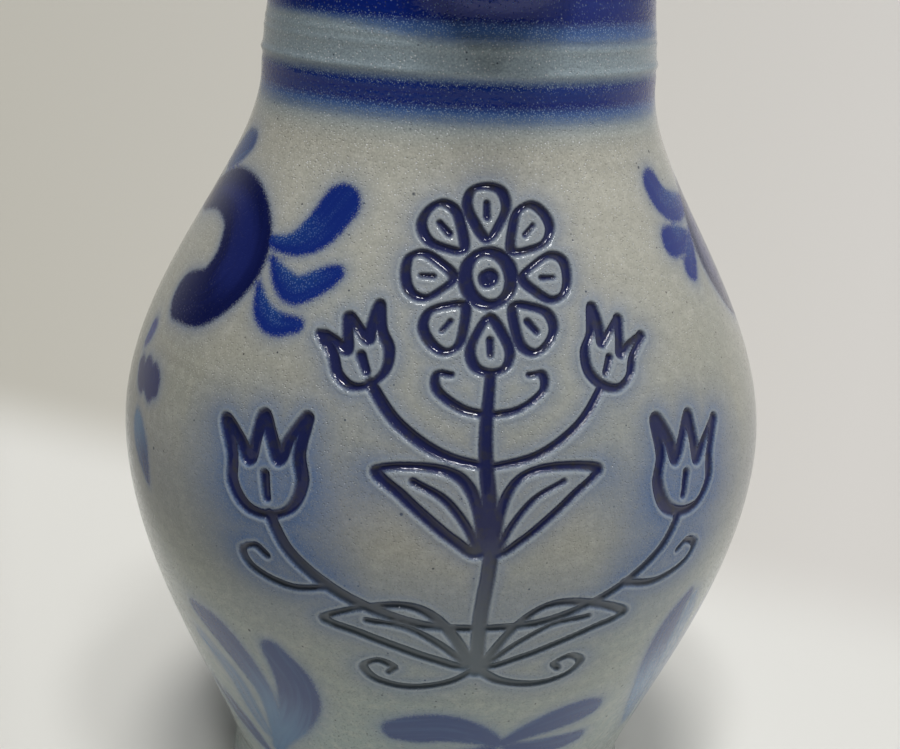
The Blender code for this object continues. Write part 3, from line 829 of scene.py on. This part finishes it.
    # cobalt bands round the neck: full against the groove, washed out below
    if bands:
        wander = add("MapRange", {0: drift, onto: (-f["bandWobble"], f["bandWobble"])})
        level = add("plus", (height, feather))
        upper, lower = (add("timesPlus", (fineDots, side * f["bandRagged"], level)) for side in (1, -1))
        lines = add("MapRange", {0: rings, span: (0.42, 0.75), most: 0.6})
        start, stop, lift = f["bandLift"]
        reach = (start * mm, stop * mm)
        lifted = add("softRange", {0: axes.outputs["X"], span: reach, most: -lift})
        many = add("times", (fineDots, 0.66))
        few = add("times", (sparkleDots, 0.32))
        for (washAt, fullAt, topAt), loose, lifts in ((f["lowBand"], 0.3, 0.0), (f["highBand"], 1.0, 1.0)):
            drawn = add("timesPlus", (wander, loose, lower))
            washed = add("timesPlus", (lifted, lifts, drawn))
            wash = add("softRange", {0: washed, span: (washAt - 2.2, washAt + 1.2), most: 0.92})
            full = add("softRange", {0: drawn, span: (fullAt - 2.0, fullAt + 0.8)})
            under = add("softRange", {0: upper, span: (topAt + 1.1, topAt - 1.2)})
            band = add("larger", (wash, full))
            band = add("times", (band, under))
            band = add("times", (band, outer))
            core = add("times", (full, under))
            high = add("MapRange", {0: height, span: (fullAt, fullAt + 2.0)})
            fringe = add("blend", {0: high, pair: f["bandFringe"]})
            tint = add("blend", {0: lines, pair: f["bandBlue"]})
            tint = add("blend", {0: core, pair: (fringe, tint)})
            # pale dots on the bands, dense where washed and few in the full tone: partly pits in thin
            # cobalt, partly painted sparkle
            gap = add("Mix", {0: core, levels: (many, few)})
            tint = add("blend", {0: gap, pair: (tint, f["pitAndSparkle"])})
            colour = add("blend", {0: band, pair: (colour, tint)})

    # grooves hold the glaze, blue at the top of the sprig and greyer lower down, between pale rims
    cutEdge = add("timesPlus", (feather, 0.3, cutInk))
    rimOutside = add("MapRange", {0: cutEdge, span: f["rimOutside"], most: 0.34})
    rimInside = add("MapRange", {0: cutEdge, span: f["rimInside"]})
    rim = add("times", (rimOutside, rimInside))
    colour = add("blend", {0: rim, pair: (colour, f["grooveRim"])})
    groove = add("softRange", {0: cutEdge, span: f["grooveEdge"], most: 0.94})
    deep = add("MapRange", {0: height, span: f["blueHeights"]})
    starved = add("MapRange", {0: mottle, span: (0.5, 0.68), most: 0.8})
    blue = add("blend", {0: starved, pair: f["grooveBlue"]})
    fill = add("blend", {0: deep, pair: (f["grooveGrey"], blue)})
    colour = add("blend", {0: groove, pair: (colour, fill)})

    # gloss: the grooves pool glass, the rest varies with the mottling
    rough = add("MapRange", {0: mottle, span: midway, onto: f["roughness"]})
    rough = add("Mix", {0: groove, levels: (rough, f["grooveRoughness"])})
    dent = add("softRange", {0: dimples, span: (0.34, 0.04), most: -1.0})
    dent = add("timesPlus", (peel, 0.7, dent))
    dent = add("timesPlus", (rings, 0.4, dent))
    pool = add("larger", (pool, groove))
    pool = add("minus", (1.0, pool))
    dent = add("times", (dent, pool))
    bump = add("Bump", {"Height": dent, "Strength": 1.0, "Distance": f["dimpleDepth"]})
    setShader({"Base Color": colour, "Roughness": rough, "Normal": bump, "IOR": f["ior"]})
    return material


# Bare stoneware: the base stood on the kiln shelf unglazed, dry and buff, with loops of the cutting wire.
bareFinish = {
    "clay": "a3988a", "rub": "857c72", "roughness": (0.65, 0.85), "grit": 0.6 * mm, "dirtScale": 70.0,
    "wire": 6.6 * mm, "wireFrom": (0.02, 0.09, 0), "relief": 0.25 * mm,
}


def bareStoneware():
    f = bareFinish
    material, add, setShader = newMaterial("bareStoneware")
    place = add("TexCoord").outputs["Object"]
    loops = add("Mapping", {"Vector": place, "Location": f["wireFrom"]})
    wire = add("TexWave", {"Vector": loops, "Scale": 1 / f["wire"], "Distortion": 1.5},
               wave_type="RINGS", rings_direction="Z")
    grit = add("TexNoise", {"Vector": place, "Scale": 1 / f["grit"], "Detail": 3.0})
    dirt = add("TexNoise", {"Vector": place, "Scale": f["dirtScale"], "Detail": 4.0})
    both = add("times", (dirt, grit))
    colour = add("blend", {0: both, pair: (f["clay"], f["rub"])})
    rough = add("MapRange", {0: grit, onto: f["roughness"]})
    dent = add("plus", (wire, grit))
    bump = add("Bump", {"Height": dent, "Strength": 0.5, "Distance": f["relief"]})
    setShader({"Base Color": colour, "Roughness": rough, "Normal": bump})
    return material


# The studio: a sheet of pale paper that dims towards the front and the left, lamps and tubes under the
# ceiling, soft light from the right and from behind, and a dim room. The paper's tones are left and right:
# painted light makes it paler towards the right, and painted shade darkens it beyond the fold, where a
# sweep would rise as a wall.
studio = {
    "floorNear": ("e2e1dc", "e4e3df"), "wallShadeTones": ("c0bdb3", "d8d5d1"), "floorDim": "a9a7a1",
    "floorSize": 60.0, "fold": (0.12, 0.21), "foldTurn": 59.3,
    "lightFanRoot": (-0.048, -0.353), "lightFan": (-0.2, 0.5),
    "dimFront": (-0.2, -0.6), "dimLeft": (-0.12, -0.19), "leftTurn": 11.1,
    "paperRoughness": 0.7, "fibreScale": 900.0, "fibreDepth": 0.1 * mm,
    "room": "eef0f2", "roomBack": (0.03, 0.4), "backSpan": (0.4, 0.95),
    "roomRight": 0.3, "rightSpan": (0.3, 0.85),
}
lamps = {  # colour, level, turn to the right, rise and width in degrees, and if it shows in the glaze
    "ceilingLeft": ("ffffff", 0.6, -15.0, 69.0, 16.0, False),
    "ceilingRight": ("ffffff", 0.23, 26.0, 68.0, 16.0, False),
    "tubeLeft": ("ffffff", 0.5, -25.0, 66.0, 8.0, True),
    "tubeRight": ("ffffff", 0.45, 30.0, 66.0, 8.0, True),
    "ceilingMiddle": ("fffdf8", 0.96, -3.0, 83.0, 14.0, False),
    "sideBox": ("fff8ee", 0.14, 92.0, 22.0, 70.0, True),
    "backFill": ("ffffff", 0.2, 175.0, 45.0, 90.0, False),
}


def hangLamp(name, colour, level, turn, rise, width, shows):
    data = bpy.data.lights.new(name, "SUN")
    data.energy = level
    data.color = linear(colour)[:3]
    data.angle = math.radians(width)
    lamp = bpy.data.objects.new(name, data)
    turn, rise = math.radians(turn), math.radians(rise)
    lamp.location = (math.sin(turn) * math.cos(rise), -math.cos(turn) * math.cos(rise), math.sin(rise))
    lamp.rotation_euler = lamp.location.to_track_quat("Z", "Y").to_euler()
    lamp.visible_glossy = shows
    scene.collection.objects.link(lamp)


def paperFinish():
    s = studio
    material, add, setShader = newMaterial("paperSweep")
    place = add("TexCoord").outputs["Object"]
    x, y = s["lightFanRoot"]  # painted light: the paper is painted paler fanwise, from left to right
    moved = add("Mapping", {"Vector": place, "Location": (-x, -y, 0)})
    foldward, leftward = (
        add("Mapping", {"Vector": place, "Rotation": (0, 0, -math.radians(s[key]))})
        for key in ("foldTurn", "leftTurn"))
    spokes, folds, lefts, fronts = (
        add("SeparateXYZ", [spot]) for spot in (moved, foldward, leftward, place))
    # painted shade: beyond the fold the paper takes darker tones, for the shaded wall of a sweep
    far = add("softRange", {0: folds.outputs["X"], span: s["fold"]})
    turn = add("over", (spokes.outputs["X"], spokes.outputs["Y"]))
    across = add("MapRange", {0: turn, span: s["lightFan"]})
    papers = [add("blend", {0: across, pair: s[key]}) for key in ("floorNear", "wallShadeTones")]
    colour = add("blend", {0: far, pair: papers})
    front = add("softRange", {0: fronts.outputs["Y"], span: s["dimFront"]})
    left = add("softRange", {0: lefts.outputs["X"], span: s["dimLeft"]})
    dim = add("larger", (front, left))
    colour = add("blend", {0: dim, pair: (colour, s["floorDim"])})
    fibre = add("TexNoise", {"Vector": place, "Scale": s["fibreScale"], "Detail": 2.0})
    bump = add("Bump", {"Height": fibre, "Strength": 0.1, "Distance": s["fibreDepth"]})
    setShader({"Base Color": colour, "Normal": bump, "Roughness": s["paperRoughness"]})
    return material


def setStudio():
    s = studio
    bm = bmesh.new()
    bmesh.ops.create_grid(bm, x_segments=8, y_segments=8, size=s["floorSize"] / 2)
    material = paperFinish()
    finishedPiece("paperSweep", bm, [material])

    for name, settings in lamps.items():
        hangLamp(name, *settings)

    world = bpy.data.worlds.new("dimRoom")
    world.use_nodes = True
    tree = world.node_tree
    add = partial(addNode, tree)
    axes = add("SeparateXYZ", [add("TexCoord").outputs["Generated"]])
    back = add("softRange", {0: axes.outputs["Y"], span: s["backSpan"], onto: s["roomBack"]})
    right = add("softRange", {0: axes.outputs["X"], span: s["rightSpan"], most: s["roomRight"]})
    level = add("plus", (back, right))
    setInputs(tree, tree.nodes["Background"], {"Strength": level, "Color": s["room"]})
    scene.world = world


# The viewpoint: close in front of the jug and a little to the left of its spout, looking down.
viewpoint = {
    "lens": 52.0, "sensor": 36.0, "nearest": 0.01,
    "place": (-47.75, -352.9, 254.0), "turn": -8.0, "down": 19.25, "roll": 2.95,
}


def setCamera():
    v = viewpoint
    data = bpy.data.cameras.new("photoView")
    data.lens = v["lens"]
    data.sensor_width = v["sensor"]
    data.clip_start = v["nearest"]
    camera = bpy.data.objects.new("photoView", data)
    aim = Matrix.Translation(Vector(v["place"]) * mm)
    for angle, axis in ((v["turn"], "Z"), (90 - v["down"], "X"), (v["roll"], "Z")):
        aim = aim @ Matrix.Rotation(math.radians(angle), 4, axis)
    camera.matrix_world = aim
    scene.collection.objects.link(camera)
    scene.camera = camera


bodyGlaze = glazedStoneware("saltGlazedStoneware", True)
handleGlaze = glazedStoneware("saltGlazedHandle", False)
lutingGlaze = glazedStoneware("saltGlazedLuting", False)
print("glazes mixed")

body = throwBody([bodyGlaze, bareStoneware()])
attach(body, "root")
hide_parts("jug_body")
print("body thrown and drawn")

handle = pullHandle([handleGlaze])
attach(handle, "root")
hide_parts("handle")
route = routePlaces()
lutings = (("upperLuting", "upper_luting_roll", route), ("lowerLuting", "lower_luting_roll", route[::-1]))
for name, node, places in lutings:
    smear = smearLuting(name, places[:len(places) // 2], [lutingGlaze])
    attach(smear, "root")
    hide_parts(node)
print("handle pulled and luted")

setStudio()
setCamera()
print("studio lit")
